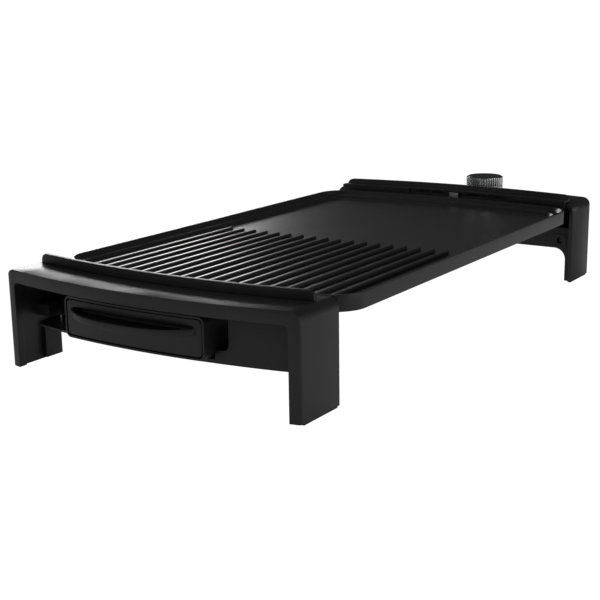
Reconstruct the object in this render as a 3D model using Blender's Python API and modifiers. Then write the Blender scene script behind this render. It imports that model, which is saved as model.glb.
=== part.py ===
"""Electric table griddle: a ribbed cast plate carried between two bowed stands.

Metres, +Z up. X is the long axis: the drip-tray stand is at -X, the control stand at +X.
The origin lies on the table, midway between the stands.
"""

import math

import bmesh
import bpy
from mathutils import Matrix, Vector

# ---------------------------------------------------------------- clearances
GAP = 0.0003  # between pieces that touch
SLIDE_GAP = 0.0008  # round the drip tray, on each side
SEAM = 0.0012  # the shadow line round a splash guard
TURN_GAP = 0.0008  # round the dial

# ---------------------------------------------------------------- stands
STAND_WIDTH = 0.2915
STAND_REACH = 0.3071  # centre of the object to the outer face, on the centre line
STAND_DEPTH = 0.0692  # from that face in to the free edge of a leg
STAND_HEIGHT = 0.0855
STAND_INNER = STAND_REACH - STAND_DEPTH
STAND_HALF = STAND_WIDTH / 2
BOW = 0.0157  # how far the outer face falls back at BOW_HALF
BOW_HALF = STAND_HALF - 0.0057
SHELL_WALL = 0.0040
SHELL_TOP = 0.0030
RIM_WIDTH = 0.0093  # the frame of the outer face, down each leg
RIM_DEPTH = 0.0080  # how far that frame goes in
BEAM_HEIGHT = 0.0106
BEAM_UNDERSIDE = STAND_HEIGHT - BEAM_HEIGHT
SHELL_CORNER = 0.0090
PLAN_CORNER = 0.0030
SHELL_EDGE = 0.0028
LEG_BOTTOM = 0.0014
FOOT_INSET = 0.0004  # of the rubber strip, from both faces of the wall above it
INNER_TOP = STAND_HEIGHT - SHELL_TOP
CAVITY_HALF = STAND_HALF - SHELL_WALL - GAP

# ---------------------------------------------------------------- griddle plate
PLATE_SET_BACK = 0.0021  # the plate's end stands this far past the free edges of the legs
PLATE_HALF_LENGTH = STAND_INNER + PLATE_SET_BACK
PLATE_OVERHANG = 0.0017  # past the stands, on each side
PLATE_HALF_WIDTH = STAND_HALF + PLATE_OVERHANG
PLATE_BOW = 0.0140
PLATE_CORNER = 0.0220
PLATE_BELOW_STAND = 0.0029
PLATE_TOP = STAND_HEIGHT - PLATE_BELOW_STAND
PLATE_DEPTH = 0.0133
PLATE_SKIRT = PLATE_TOP - PLATE_DEPTH
PLATE_FLOOR = PLATE_TOP - 0.0084
PLATE_WALL = 0.0055
PLATE_UNDERSIDE = PLATE_FLOOR - PLATE_WALL
ELEMENT_RADIUS = 0.0032
ELEMENT_Z = PLATE_UNDERSIDE - GAP - ELEMENT_RADIUS  # the heater is clamped under the plate
RIM_TOP_WIDTH = 0.0025
LEDGE_INSET = 0.0039
LEDGE_HEIGHT = PLATE_TOP - 0.0044
LEDGE_WIDTH = 0.0070
FLOOR_INSET = LEDGE_INSET + LEDGE_WIDTH + 0.0015
BASE_INSET = 0.0120
RIB_PITCH = 0.0142
RIB_SIDE = 0.0130  # the least distance from a rib's middle to the side of the floor
RIB_WIDTH = 0.0050
RIB_HEIGHT = 0.0035
RIB_END = -0.0095
RIB_MARGIN = 0.0060  # from the tray end of the floor to the ribs
FLOOR_HALF_LENGTH = PLATE_HALF_LENGTH - FLOOR_INSET
FLOOR_HALF_WIDTH = PLATE_HALF_WIDTH - FLOOR_INSET
RIB_COUNT = int(2 * (FLOOR_HALF_WIDTH - RIB_SIDE) / RIB_PITCH) + 1
DRAIN_RADIUS = 0.0055
DRAIN_X = -(FLOOR_HALF_LENGTH - DRAIN_RADIUS - 0.0010)

# ---------------------------------------------------------------- controls
KNOB_RADIUS = 0.0207
KNOB_X = STAND_REACH - KNOB_RADIUS - 0.0004
KNOB_Y = -0.0210
KNOB_BOTTOM = STAND_HEIGHT + 0.0011
KNOB_COLLAR_TOP = KNOB_BOTTOM + 0.0054
KNOB_TOP = KNOB_BOTTOM + 0.0152
KNOB_FLUTES = 36
FLUTE_DEPTH = 0.0005
CAP_RADIUS = KNOB_RADIUS - 0.0018
CAP_RISE = 0.0007
CAP_THICK = 0.0016
SHAFT_RADIUS = 0.0030
THERMOSTAT_WIDTH = 0.0320
THERMOSTAT_DROP = 0.0180
THERMOSTAT_REAR = 0.0120
LAMP_X = KNOB_X - 0.0040
LAMP_RADIUS = 0.0040
LAMP_Y = KNOB_Y - KNOB_RADIUS - LAMP_RADIUS - 0.0043

# ---------------------------------------------------------------- splash guards
GUARD_HALF = STAND_HALF - 0.0085
GUARD_THICK = 0.0042
GUARD_REACH_TRAY = STAND_REACH - 0.0343
GUARD_REACH_CONTROL = KNOB_X - KNOB_RADIUS - TURN_GAP
GUARD_TOP = STAND_HEIGHT + 0.0079
GUARD_STEP_TRAY = STAND_HEIGHT - 0.0015  # the flat step inside the upright fin
GUARD_STEP_CONTROL = STAND_HEIGHT + 0.0033
GUARD_CORNER = 0.0060
GUARD_WALL_REACH = PLATE_HALF_LENGTH + 0.0075  # the low wall that faces the plate's end
GUARD_DEPTH_TRAY = 0.0243  # from that wall out to the fin's face, at BOW_HALF
GUARD_DEPTH_CONTROL = 0.0156
GUARD_BOTTOM = STAND_HEIGHT - 0.0063
GUARD_SKIN = 0.0020
VENT_TOP = GUARD_STEP_CONTROL - GUARD_SKIN - 0.0002
VENT_BOTTOM = VENT_TOP - 0.0030
VENT_SPANS = ((0.0550, 0.0290), (0.0262, 0.0025), (-0.0085, -0.0408), (-0.0432, -0.0690))

# ---------------------------------------------------------------- drip tray
FRAME_HALF = 0.0695
FRAME_HEIGHT = 0.0335
FRAME_TOP = BEAM_UNDERSIDE - 0.0009
FRAME_BOTTOM = FRAME_TOP - FRAME_HEIGHT
FRAME_WALL = 0.0016
FRAME_CORNER = 0.0050
FRAME_DEPTH = 0.0420
TRAY_WALL = 0.0014
TRAY_TOP = FRAME_TOP - 0.0115
TRAY_INNER = -DRAIN_X - DRAIN_RADIUS - TRAY_WALL - 0.0010
GUIDE_INNER = TRAY_INNER - 0.0030
GUIDE_TOP = TRAY_TOP + 0.0015
FRONT_THICK = 0.0030
FRONT_RECESS = 0.0012
FRONT_CORNER = 0.0038
PULL_HALF = FRAME_HALF - 0.0075
PULL_TOP = FRAME_TOP - 0.0080
PULL_LIP_TOP = FRAME_TOP - 0.0092  # of the lip, at its ends
PULL_SAG = 0.0016
PULL_BULGE = 0.0140  # how far the lip stands out in the middle
PULL_STEP = 0.0012  # and at its ends
PULL_WALL = 0.0018
PULL_DEPTH = 0.0085  # of the pocket, behind the front
LIP_HEIGHT = 0.0052

# ---------------------------------------------------------------- panels under the beams
PANEL_REACH = STAND_INNER + 0.0021
PANEL_THICK = 0.0030
PANEL_BOTTOM = FRAME_BOTTOM - 0.0040
PANEL_TOP = ELEMENT_Z - ELEMENT_RADIUS - 0.0030
ARCH_RADIUS = 0.0120
POST_DEPTH = 0.0190
POST_FACE = CAVITY_HALF - 0.0036
POST_TOP = PANEL_BOTTOM - 0.0035
PAD_SIZE = 0.0140
PAD_RAISE = 0.0008
PAD_DEPTH = 0.0036
PAD_Y = CAVITY_HALF - 0.0096
PAD_Z = PANEL_BOTTOM + 0.0085
PAD_BORE = 0.0035
PAD_BORE_DEPTH = 0.0046
APRON_SET_BACK = 0.0120  # behind the outer face
APRON_THICK = 0.0025
APRON_HALF = CAVITY_HALF - 0.0014
APRON_TOP = INNER_TOP - 0.0025
APRON_FACE = STAND_REACH - APRON_SET_BACK
APRON_BACK = APRON_FACE - APRON_THICK
COVER_HALF = POST_FACE - ARCH_RADIUS - 0.0018
COVER_THICK = 0.0016
COVER_BOTTOM = PANEL_BOTTOM + 0.0004
COVER_SCREW_X = PANEL_REACH + 0.0240
COVER_SCREW_Y = COVER_HALF - 0.0120

# ---------------------------------------------------------------- brackets
BRACKET_Y = PAD_Y - 0.0300
BRACKET_WIDTH = 0.0200
BRACKET_REACH = 0.0260
BRACKET_THICK = 0.0016
BRACKET_SCREW_Z = PANEL_TOP - 0.0035
BRACKET_LOW = BRACKET_SCREW_Z - 0.0035

# ---------------------------------------------------------------- heating
SHIELD_WALL = 0.0008
SHIELD_TOP = PLATE_UNDERSIDE - 0.0008
SHIELD_BOTTOM = SHIELD_TOP - 0.0090
SHIELD_HALF_WIDTH = BRACKET_Y + 0.0080
SHIELD_CONTROL_END = PANEL_REACH - 0.0150
SHIELD_TRAY_END = -(GUIDE_INNER - 0.0050)
ELEMENT_OUTER_Y = SHIELD_HALF_WIDTH - 0.0220
ELEMENT_INNER_Y = ELEMENT_OUTER_Y - 0.0550
ELEMENT_FAR = SHIELD_TRAY_END + 0.0180
ELEMENT_TURN = SHIELD_CONTROL_END - 0.0350
TERMINAL_LENGTH = 0.0160
ELEMENT_END = KNOB_X - THERMOSTAT_REAR - 0.0020 - TERMINAL_LENGTH  # just short of the thermostat

# ---------------------------------------------------------------- mains inlet and wiring
INLET_Y = 0.0600
INLET_WIDTH = 0.0270
INLET_HEIGHT = 0.0200
INLET_Z = PANEL_BOTTOM + 0.0215
INLET_WALL = 0.0025
INLET_DEPTH = 0.0220
PIN_SIZE = 0.0020
PIN_SET_BACK = 0.0065  # inside the mouth of the socket
BLOCK_LENGTH = 0.0150
BLOCK_WIDTH = 0.0210
BLOCK_HEIGHT = 0.0095
BLOCK_Y = 0.0185

ORIGIN_X = (PULL_BULGE - FRONT_RECESS) / 2  # puts the origin under the middle, lip included

ENDS = (("tray", -1), ("control", 1))
SIDES = (("left", 1), ("right", -1))

PARTS = None
CUTTERS = None


# ================================================================ scene and materials
def clear_scene():
    for obj in list(bpy.data.objects):
        bpy.data.objects.remove(obj, do_unlink=True)


def new_collection(name):
    collection = bpy.data.collections.new(name)
    bpy.context.scene.collection.children.link(collection)
    return collection


def material(name, colour, roughness, metallic=0.0):
    made = bpy.data.materials.new(name)
    made.use_nodes = True
    shader = made.node_tree.nodes["Principled BSDF"]
    shader.inputs["Base Color"].default_value = (*colour, 1.0)
    shader.inputs["Roughness"].default_value = roughness
    shader.inputs["Metallic"].default_value = metallic
    return made


# ================================================================ shapes
def mesh_object(name, bm, location=(0, 0, 0), finish=None):
    """Put a bmesh, built round its own origin, into the scene at a place."""
    mesh = bpy.data.meshes.new(name)
    bmesh.ops.recalc_face_normals(bm, faces=bm.faces)
    bm.to_mesh(mesh)
    bm.free()
    obj = bpy.data.objects.new(name, mesh)
    obj.location = location
    if finish is None:
        CUTTERS.objects.link(obj)
        obj.hide_render = True
        obj.display_type = "WIRE"
    else:
        PARTS.objects.link(obj)
        mesh.materials.append(finish)
    return obj


def box(name, low, high, finish=None):
    """A block between two corners, with its origin at its centre."""
    low = Vector(low)
    high = Vector(high)
    bm = bmesh.new()
    bmesh.ops.create_cube(bm, size=1.0)
    bmesh.ops.scale(bm, vec=high - low, verts=bm.verts)
    return mesh_object(name, bm, (low + high) / 2, finish)


def end_box(name, side, reach, ys, zs, finish=None):
    """A block given by its distances from the middle of the object towards one end."""
    near, far = sorted(side * value for value in reach)
    return box(name, (near, min(ys), min(zs)), (far, max(ys), max(zs)), finish)


def cylinder(name, radius, low, high, axis, centre, finish=None, sides=24):
    """A round bar along one axis, between two coordinates on it."""
    turn = {
        "X": Matrix.Rotation(math.pi / 2, 4, "Y"),
        "Y": Matrix.Rotation(math.pi / 2, 4, "X"),
        "Z": Matrix.Identity(4),
    }[axis]
    bm = bmesh.new()
    bmesh.ops.create_cone(
        bm, cap_ends=True, segments=sides, radius1=radius, radius2=radius, depth=high - low
    )
    bmesh.ops.transform(bm, matrix=turn, verts=bm.verts)
    place = list(centre)
    place["XYZ".index(axis)] = (low + high) / 2
    return mesh_object(name, bm, place, finish)


def outline_mesh(points, thickness):
    """A flat outline in XY made solid, half its thickness each way in Z."""
    curve = bpy.data.curves.new("outline", "CURVE")
    curve.dimensions = "2D"
    curve.fill_mode = "BOTH"
    curve.extrude = thickness / 2
    spline = curve.splines.new("POLY")
    spline.points.add(len(points) - 1)
    for point, (u, v) in zip(spline.points, points):
        point.co = (u, v, 0, 1)
    spline.use_cyclic_u = True
    helper = bpy.data.objects.new("outline", curve)
    bpy.context.scene.collection.objects.link(helper)
    bpy.context.view_layer.update()
    graph = bpy.context.evaluated_depsgraph_get()
    mesh = bpy.data.meshes.new_from_object(helper.evaluated_get(graph))
    bpy.data.objects.remove(helper, do_unlink=True)
    bpy.data.curves.remove(curve)
    bm = bmesh.new()
    bm.from_mesh(mesh)
    bpy.data.meshes.remove(mesh)
    bmesh.ops.remove_doubles(bm, verts=bm.verts, dist=1e-6)
    return bm


YZ_TO_WORLD = Matrix(((0, 0, 1, 0), (1, 0, 0, 0), (0, 1, 0, 0), (0, 0, 0, 1)))


def slab_yz(name, points, low, high, finish=None):
    """An outline drawn in Y and Z, solid between two places on X."""
    bm = outline_mesh(points, high - low)
    bmesh.ops.transform(bm, matrix=YZ_TO_WORLD, verts=bm.verts)
    return mesh_object(name, bm, ((low + high) / 2, 0, 0), finish)


def slab_xy(name, points, low, high, finish=None):
    """An outline drawn in X and Y, solid between two heights."""
    bm = outline_mesh(points, high - low)
    return mesh_object(name, bm, (0, 0, (low + high) / 2), finish)


def bowed_bar(name, side, section, half, finish=None, bows=(BOW, BOW), steps=28):
    """A section in reach and height, run along Y and bent back like the stand's outer face.

    The two bows are those of the section's innermost and outermost points.
    """
    inner = min(reach for reach, z in section)
    depth = max(reach for reach, z in section) - inner
    bm = outline_mesh(section, 1.0)
    upright = Matrix(((1, 0, 0, 0), (0, 0, -1, 0), (0, 1, 0, 0), (0, 0, 0, 1)))
    bmesh.ops.transform(bm, matrix=upright, verts=bm.verts)
    bmesh.ops.scale(bm, vec=(1, 2 * half, 1), verts=bm.verts)
    for step in range(1, steps):
        y = half * (2 * step / steps - 1)
        everything = bm.verts[:] + bm.edges[:] + bm.faces[:]
        bmesh.ops.bisect_plane(bm, geom=everything, plane_co=(0, y, 0), plane_no=(0, 1, 0))
    for vert in bm.verts:
        bow = bows[0] + (bows[1] - bows[0]) * (vert.co.x - inner) / depth
        vert.co.x = side * (vert.co.x - bow * (vert.co.y / BOW_HALF) ** 2)
    return mesh_object(name, bm, (0, 0, 0), finish)


def boolean(obj, other, operation="DIFFERENCE"):
    modifier = obj.modifiers.new(f"{operation.title()} {other.name}", "BOOLEAN")
    modifier.operation = operation
    modifier.object = other
    return obj


def bevel(obj, width, segments=2, angle=40):
    modifier = obj.modifiers.new("Rounded edges", "BEVEL")
    modifier.width = width
    modifier.segments = segments
    modifier.limit_method = "ANGLE"
    modifier.angle_limit = math.radians(angle)
    modifier.use_clamp_overlap = True
    return obj


def shade(obj, angle=35):
    obj.data.shade_smooth()
    obj.data.set_sharp_from_angle(angle=math.radians(angle))
    return obj


def arc(centre, radius, start, end, steps):
    """Points on an arc, angles in degrees."""
    return [
        (
            centre[0] + radius * math.cos(math.radians(start + (end - start) * i / steps)),
            centre[1] + radius * math.sin(math.radians(start + (end - start) * i / steps)),
        )
        for i in range(steps + 1)
    ]


def rounded_rectangle(low, high, radius, steps=4):
    (u0, v0), (u1, v1) = low, high
    return (
        arc((u1 - radius, v1 - radius), radius, 0, 90, steps)
        + arc((u0 + radius, v1 - radius), radius, 90, 180, steps)
        + arc((u0 + radius, v0 + radius), radius, 180, 270, steps)
        + arc((u1 - radius, v0 + radius), radius, 270, 360, steps)
    )


def bow_at(reach, y, bow=BOW):
    return reach - bow * (y / BOW_HALF) ** 2


def bowed_plan(side, reach, half_width, inner, corner, bow=BOW, steps=24):
    """A plan outline: a bowed outer end with rounded corners and a straight inner edge."""
    turn = half_width - corner
    slope = math.degrees(math.atan(2 * bow * turn / BOW_HALF**2))
    edge = bow_at(reach, turn, bow)
    rows = [turn * (2 * i / steps - 1) for i in range(steps + 1)]
    lean = math.radians(slope)
    centre_x = edge - corner * math.cos(lean)
    centre_y = turn - corner * math.sin(lean)
    rounding = arc((centre_x, centre_y), corner, slope, 90, 5)
    scale = (half_width - centre_y) / corner
    upper = [(x, centre_y + (y - centre_y) * scale) for x, y in rounding]
    lower = [(x, -y) for x, y in reversed(upper)]
    points = [(inner, -half_width)] + lower + [(bow_at(reach, y, bow), y) for y in rows[1:-1]]
    points += upper + [(inner, half_width)]
    return [(side * x, y) for x, y in points]


# ================================================================ stands
def arch(half_width, top, bottom, corner):
    points = [(half_width, bottom)]
    points += arc((half_width - corner, top - corner), corner, 0, 90, 5)
    points += arc((corner - half_width, top - corner), corner, 90, 180, 5)
    return points + [(-half_width, bottom)]


def make_stand(end, side, guard_reach, guard_bow, finish):
    """The moulded outer shell: a bowed frame in front, thin walls behind, open towards the plate."""
    half = STAND_HALF
    low, high = sorted((side * STAND_INNER, side * (STAND_REACH + 0.01)))
    shell = slab_yz(
        f"{end}_stand_shell", arch(half, STAND_HEIGHT, LEG_BOTTOM, SHELL_CORNER), low, high, finish
    )
    plan = slab_xy(
        f"{end}_stand_plan",
        bowed_plan(side, STAND_REACH, half, STAND_INNER - 0.02, PLAN_CORNER),
        -0.01,
        STAND_HEIGHT,
    )
    bevel(plan, SHELL_EDGE, segments=3, angle=60)
    boolean(shell, plan, "INTERSECT")

    hollow_low, hollow_high = sorted((side * (STAND_INNER - 0.01), side * (STAND_REACH + 0.02)))
    hollow = slab_yz(
        f"{end}_stand_hollow",
        arch(half - SHELL_WALL, INNER_TOP, LEG_BOTTOM - 0.01, SHELL_CORNER - SHELL_WALL),
        hollow_low,
        hollow_high,
    )
    hollow_plan = slab_xy(
        f"{end}_stand_hollow_plan",
        bowed_plan(side, STAND_REACH - RIM_DEPTH, half + 0.01, STAND_INNER - 0.03, 0.002),
        -0.02,
        STAND_HEIGHT + 0.01,
    )
    boolean(hollow, hollow_plan, "INTERSECT")
    boolean(shell, hollow)

    opening = slab_yz(
        f"{end}_stand_opening",
        arch(half - RIM_WIDTH, BEAM_UNDERSIDE, LEG_BOTTOM - 0.02, 0.004),
        hollow_low,
        hollow_high,
    )
    boolean(shell, opening)

    reach = guard_reach + SEAM
    well = slab_xy(
        f"{end}_guard_well",
        bowed_plan(side, reach, GUARD_HALF + SEAM, STAND_INNER - 0.02, 0.0012, guard_bow),
        INNER_TOP - 0.006,
        STAND_HEIGHT + 0.01,
    )
    boolean(shell, well)
    for label, y_side in SIDES:
        boss = end_box(
            f"{end}_screw_boss_{label}",
            side,
            (PANEL_REACH + PANEL_THICK + PAD_DEPTH + GAP, bow_at(STAND_REACH, PAD_Y) - 0.03),
            (y_side * (PAD_Y - 0.0045), y_side * (half - SHELL_WALL / 2)),
            (PAD_Z - 0.005, PAD_Z + 0.005),
        )
        boolean(shell, boss, "UNION")
        hole = cylinder(
            f"{end}_boss_hole_{label}",
            0.0021,
            *sorted((side * (PANEL_REACH - 0.01), side * (PANEL_REACH + 0.0175))),
            "X",
            (0, y_side * PAD_Y, PAD_Z),
            sides=16,
        )
        boolean(shell, hole)
    return shade(shell)


def guard_bow(reach, depth):
    """The bow that brings a fin to a set depth outside the low wall at its ends."""
    return reach - (GUARD_WALL_REACH - PLATE_BOW + depth)


def make_guard(end, side, reach, bow, step, finish):
    """The splash guard: an upright fin, a flat step, and a low wall that faces the plate's end."""
    fin = reach - GUARD_THICK
    step_under = step - GUARD_SKIN
    section = [
        (reach, GUARD_BOTTOM),
        (reach, GUARD_TOP + 0.004),
        (fin, GUARD_TOP + 0.004),
        (fin, step),
        (GUARD_WALL_REACH, step),
        (GUARD_WALL_REACH, GUARD_BOTTOM),
        (GUARD_WALL_REACH + GUARD_SKIN, GUARD_BOTTOM),
        (GUARD_WALL_REACH + GUARD_SKIN, step_under),
        (reach - GUARD_SKIN, step_under),
        (reach - GUARD_SKIN, GUARD_BOTTOM),
    ]
    bows = (PLATE_BOW, bow)
    guard = bowed_bar(f"{end}_splash_guard", side, section, GUARD_HALF, finish, bows)
    turn = GUARD_HALF - GUARD_CORNER
    corner_z = GUARD_TOP - GUARD_CORNER
    beyond = GUARD_HALF + 0.01
    below = GUARD_BOTTOM - 0.01
    view = [(beyond, below), (beyond, corner_z), (GUARD_HALF, corner_z)]
    view += arc((turn, corner_z), GUARD_CORNER, 0, 90, 5)
    view += arc((-turn, corner_z), GUARD_CORNER, 90, 180, 5)
    view += [(-beyond, corner_z), (-beyond, below)]
    low, high = sorted((side * (STAND_INNER - 0.04), side * STAND_REACH))
    boolean(guard, slab_yz(f"{end}_guard_view", view, low, high), "INTERSECT")
    if end == "control":
        for index, (y0, y1) in enumerate(VENT_SPANS):
            vent = end_box(
                f"guard_vent_{index}",
                side,
                (GUARD_WALL_REACH - 0.03, GUARD_WALL_REACH + GUARD_SKIN + 0.0010),
                (y0, y1),
                (VENT_BOTTOM, VENT_TOP),
            )
            boolean(guard, vent)
    return shade(guard)


def make_inner_panel(end, side, finish):
    """The flat panel under the plate's end, arched down into both legs, with screw pads."""
    half = CAVITY_HALF
    inner = POST_FACE - ARCH_RADIUS
    points = [(half, LEG_BOTTOM), (half, PANEL_TOP), (-half, PANEL_TOP), (-half, LEG_BOTTOM)]
    points += [(-POST_FACE, LEG_BOTTOM)]
    points += arc((-inner, PANEL_BOTTOM - ARCH_RADIUS), ARCH_RADIUS, 180, 90, 6)
    points += arc((inner, PANEL_BOTTOM - ARCH_RADIUS), ARCH_RADIUS, 90, 0, 6)
    points += [(POST_FACE, LEG_BOTTOM)]
    low, high = sorted((side * PANEL_REACH, side * (PANEL_REACH + PANEL_THICK)))
    panel = slab_yz(f"{end}_inner_panel", points, low, high, finish)
    for label, y_side in SIDES:
        post = end_box(
            f"{end}_post_{label}",
            side,
            (PANEL_REACH + PANEL_THICK / 2, PANEL_REACH + POST_DEPTH),
            (y_side * POST_FACE, y_side * half),
            (LEG_BOTTOM, POST_TOP),
        )
        boolean(panel, post, "UNION")
        pad = end_box(
            f"{end}_pad_{label}",
            side,
            (PANEL_REACH - PAD_RAISE, PANEL_REACH + PANEL_THICK + PAD_DEPTH),
            (y_side * (PAD_Y - PAD_SIZE / 2), y_side * (PAD_Y + PAD_SIZE / 2)),
            (PAD_Z - PAD_SIZE / 2, PAD_Z + PAD_SIZE / 2),
        )
        boolean(panel, pad, "UNION")
        for name, radius, depth in (("bore", PAD_BORE, PAD_BORE_DEPTH), ("hole", 0.0022, 0.02)):
            cut = cylinder(
                f"{end}_pad_{name}_{label}",
                radius,
                *sorted((side * (PANEL_REACH - 0.01), side * (PANEL_REACH - PAD_RAISE + depth))),
                "X",
                (0, y_side * PAD_Y, PAD_Z),
            )
            boolean(panel, cut)
        bracket_hole = cylinder(
            f"{end}_bracket_hole_{label}",
            0.0017,
            *sorted((side * (PANEL_REACH - 0.01), side * (PANEL_REACH + 0.01))),
            "X",
            (0, y_side * BRACKET_Y, BRACKET_SCREW_Z),
            sides=16,
        )
        boolean(panel, bracket_hole)
    if end == "tray":
        clear = GAP * 2
        way = box(
            "tray_panel_way",
            (-PANEL_REACH - 0.02, -FRAME_HALF - clear, FRAME_BOTTOM - clear),
            (-PANEL_REACH + 0.02, FRAME_HALF + clear, STAND_HEIGHT),
        )
        boolean(panel, way)
    return shade(panel)


def make_apron(end, side, finish):
    """The set-back panel that follows the bow under the beam; the tray end is open on one side."""
    section = [
        (APRON_FACE, PANEL_BOTTOM),
        (APRON_FACE, APRON_TOP),
        (APRON_BACK, APRON_TOP),
        (APRON_BACK, PANEL_BOTTOM),
    ]
    apron = bowed_bar(f"{end}_apron", side, section, APRON_HALF, finish)
    low, high = sorted((side * STAND_INNER, side * (STAND_REACH + 0.01)))
    if end == "tray":
        window_half = FRAME_HALF + 0.0125
        window = rounded_rectangle(
            (-window_half, FRAME_BOTTOM + 0.0065), (window_half, STAND_HEIGHT + 0.0045), 0.005
        )
        boolean(apron, slab_yz("apron_window", window, low, high))
        clear = GAP * 2
        open_side = box(
            "apron_open_side",
            (low, FRAME_HALF + clear, PANEL_BOTTOM - 0.01),
            (high, STAND_HALF, STAND_HEIGHT),
        )
        boolean(apron, open_side)
        way = box(
            "apron_way",
            (low, -FRAME_HALF - clear, FRAME_BOTTOM - clear),
            (high, FRAME_HALF + clear, STAND_HEIGHT + 0.01),
        )
        boolean(apron, way)
    else:
        half_w = INLET_WIDTH / 2 + GAP
        half_h = INLET_HEIGHT / 2 + GAP
        way = box(
            "inlet_way",
            (low, INLET_Y - half_w, INLET_Z - half_h),
            (high, INLET_Y + half_w, INLET_Z + half_h),
        )
        boolean(apron, way)
    return shade(apron)


def make_foot(end, side, label, y_side, finish):
    """The rubber strip under the side wall of a leg, which stands on the table."""
    foot = end_box(
        f"{end}_foot_{label}",
        side,
        (STAND_INNER + 0.0020, bow_at(STAND_REACH, STAND_HALF) - 0.0040),
        (y_side * (STAND_HALF - SHELL_WALL + FOOT_INSET), y_side * (STAND_HALF - FOOT_INSET)),
        (0.0, LEG_BOTTOM - GAP),
        finish,
    )
    return bevel(foot, 0.0003)


def make_pad_screw(end, side, label, y_side, finish):
    """A pan-head screw that holds the inner panel to the boss in the stand."""
    seat = PANEL_REACH - PAD_RAISE + PAD_BORE_DEPTH
    profile = [(0.0, seat - 0.0020), (0.0026, seat - 0.0018), (0.0032, seat - 0.0006)]
    profile += [(0.0032, seat - GAP), (0.0019, seat - GAP), (0.0019, seat + 0.0120), (0, seat + 0.0120)]
    return turned_x(f"{end}_panel_screw_{label}", side, profile, y_side * PAD_Y, PAD_Z, finish)


def turned_x(name, side, profile, y, z, finish):
    """A turned piece on an axis along X: pairs of radius and distance from the middle."""
    origin = profile[0][1]
    bm = bmesh.new()
    verts = [bm.verts.new((radius, 0, reach - origin)) for radius, reach in profile]
    edges = [bm.edges.new(pair) for pair in zip(verts, verts[1:])]
    bmesh.ops.spin(
        bm,
        geom=verts + edges,
        axis=(0, 0, 1),
        cent=(0, 0, 0),
        angle=math.tau,
        steps=16,
        use_merge=True,
        use_duplicate=False,
    )
    bmesh.ops.remove_doubles(bm, verts=bm.verts, dist=1e-6)
    bmesh.ops.transform(bm, matrix=Matrix.Rotation(side * math.pi / 2, 4, "Y"), verts=bm.verts)
    return shade(mesh_object(name, bm, (side * origin, y, z), finish))


# ================================================================ griddle plate
def plate_plan(inset):
    """The plate's outline drawn in by an inset, bowed at both ends."""
    half_width = PLATE_HALF_WIDTH - inset
    reach = PLATE_HALF_LENGTH - inset
    corner = max(PLATE_CORNER - inset, 0.004)
    right = bowed_plan(1, reach, half_width, 0, corner, PLATE_BOW)[1:-1]
    left = [(-x, -y) for x, y in right]
    return right + left


def plate_bevel_ring(name, inset_low, low, inset_high, high):
    """A cutter whose side slopes between two insets of the plate's outline."""
    bm = bmesh.new()
    loops = []
    for inset, z in ((inset_low, low), (inset_high, high)):
        loops.append([bm.verts.new((x, y, z)) for x, y in plate_plan(inset)])
    count = len(loops[0])
    for i in range(count):
        j = (i + 1) % count
        bm.faces.new((loops[0][i], loops[0][j], loops[1][j], loops[1][i]))
    bm.faces.new(loops[0])
    bm.faces.new(loops[1])
    return mesh_object(name, bm)


def make_plate(finish):
    """The cast plate: a stepped rim, a ribbed half, a smooth half, and a drain hole."""
    plate = slab_xy("griddle_plate", plate_plan(0.0), PLATE_SKIRT, PLATE_TOP, finish)
    under = plate_bevel_ring(
        "plate_under", BASE_INSET + 0.002, PLATE_UNDERSIDE, BASE_INSET, PLATE_SKIRT + 0.001
    )
    boolean(plate, under, "UNION")
    upper = plate_bevel_ring(
        "plate_upper_well", LEDGE_INSET, LEDGE_HEIGHT, RIM_TOP_WIDTH - 0.0002, PLATE_TOP + 0.001
    )
    lower = plate_bevel_ring(
        "plate_lower_well", FLOOR_INSET, PLATE_FLOOR, LEDGE_INSET + LEDGE_WIDTH, LEDGE_HEIGHT + 0.0005
    )
    boolean(plate, upper)
    boolean(plate, lower)
    ribs = make_ribs()
    boolean(plate, ribs, "UNION")
    drain = cylinder(
        "plate_drain", DRAIN_RADIUS, PLATE_UNDERSIDE - 0.01, PLATE_TOP, "Z", (DRAIN_X, 0, 0)
    )
    boolean(plate, drain)
    return shade(plate)


def make_ribs():
    """All the ribs as one tool: long bars with rounded ends and chamfered tops."""
    bm = bmesh.new()
    half = RIB_WIDTH / 2
    for index in range(RIB_COUNT):
        y = RIB_PITCH * (index - (RIB_COUNT - 1) / 2)
        start = RIB_MARGIN - bow_at(FLOOR_HALF_LENGTH, y, PLATE_BOW)
        rings = []
        for narrow, z in ((0, PLATE_FLOOR - 0.001), (0, PLATE_FLOOR + RIB_HEIGHT * 0.55),
                          (half * 0.45, PLATE_FLOOR + RIB_HEIGHT)):
            radius = half - narrow
            plan = arc((RIB_END - half, y), radius, -90, 90, 5)
            plan += arc((start + half, y), radius, 90, 270, 5)
            rings.append([bm.verts.new((u, v, z)) for u, v in plan])
        for below, above in zip(rings, rings[1:]):
            for i in range(len(below)):
                j = (i + 1) % len(below)
                bm.faces.new((below[i], below[j], above[j], above[i]))
        bm.faces.new(rings[0])
        bm.faces.new(rings[-1])
    return mesh_object("plate_ribs", bm)


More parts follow.
